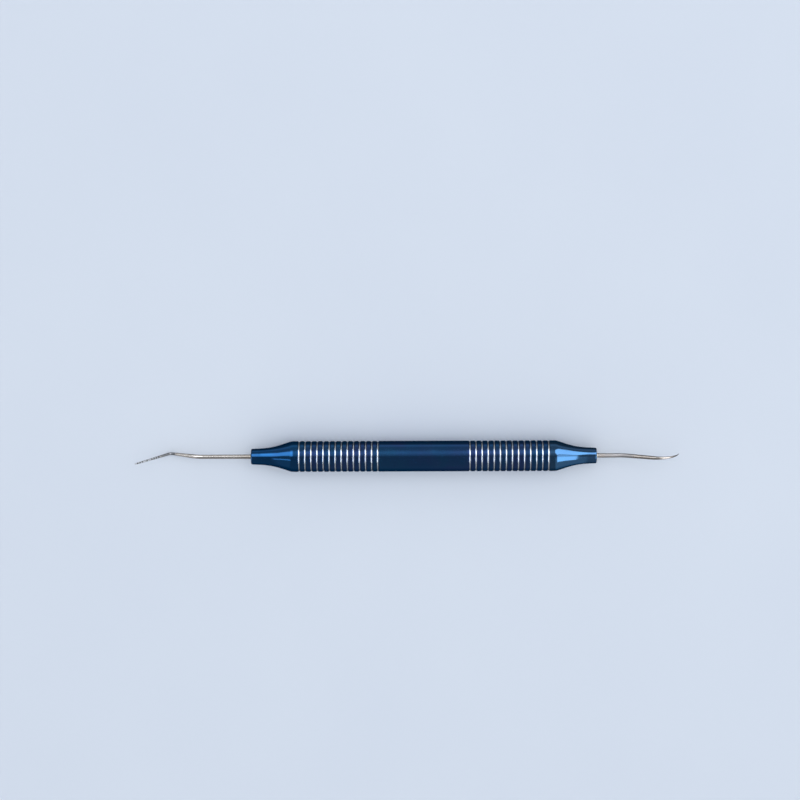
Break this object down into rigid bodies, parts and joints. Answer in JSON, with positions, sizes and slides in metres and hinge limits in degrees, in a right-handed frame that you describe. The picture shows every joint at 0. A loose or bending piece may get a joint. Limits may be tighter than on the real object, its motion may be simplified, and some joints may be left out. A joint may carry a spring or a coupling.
{
  "type": "dental explorer",
  "caption": "Double-ended dental explorer: hollow ringed handle with turned cone ends, a fine hooked explorer tip on one end and a graduated probe on the other.",
  "frame": {"origin": "middle of the handle, on its axis", "axes": "+X along the handle towards the hooked explorer end, the graduated probe end at -X; both working ends are bent in the XZ plane, the probe's tip and the hook's back towards +Z"},
  "size_m": [0.1679, 0.0094, 0.0125],
  "materials": {
    "handle_coating": "gloss",
    "shank_steel": "satin",
    "bush_brass": "satin",
    "braze_filler": "satin",
    "mark_enamel": "satin"
  },
  "bodies": {
    "root": {"handle_tube": "handle_coating", "probe_nose": "handle_coating", "explorer_nose": "handle_coating", "probe_bush": "bush_brass", "explorer_bush": "bush_brass", "probe_braze_fillet": "braze_filler", "explorer_braze_fillet": "braze_filler", "probe_insert": "shank_steel", "explorer_insert": "shank_steel", "probe_depth_marks": "mark_enamel"}
  },
  "joints": []
}
